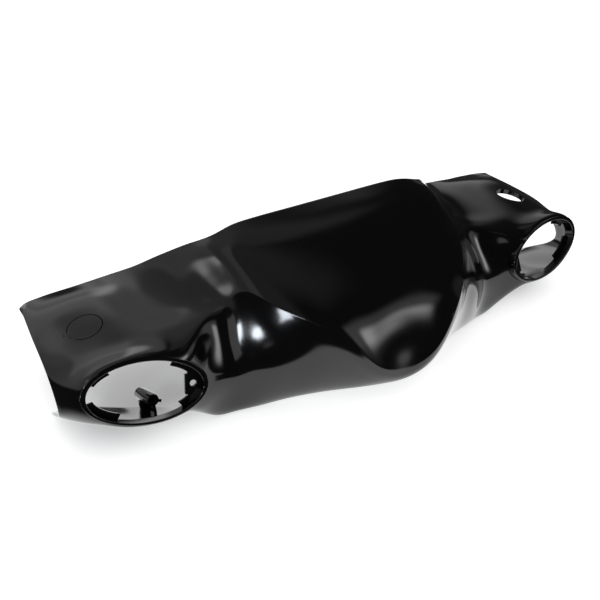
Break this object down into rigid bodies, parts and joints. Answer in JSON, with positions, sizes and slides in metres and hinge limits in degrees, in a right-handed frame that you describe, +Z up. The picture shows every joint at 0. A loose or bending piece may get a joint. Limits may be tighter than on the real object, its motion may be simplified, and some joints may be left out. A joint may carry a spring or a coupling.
{
  "type": "handlebar cover",
  "caption": "Moulded front cover for a scooter handlebar: a raised centre shield with a wing on each side, oval indicator openings and a mirror hole.",
  "frame": {"origin": "middle of the cover's width and depth, at the level of the lower edges that it stands on", "axes": "+X across the handlebar, to the right as seen from the front; the front faces -Y; +Z up"},
  "size_m": [0.515, 0.1983, 0.1249],
  "materials": {
    "black_plastic": "glossy black moulded plastic"
  },
  "bodies": {
    "root": {"handlebar_cover": "black_plastic"}
  },
  "joints": []
}
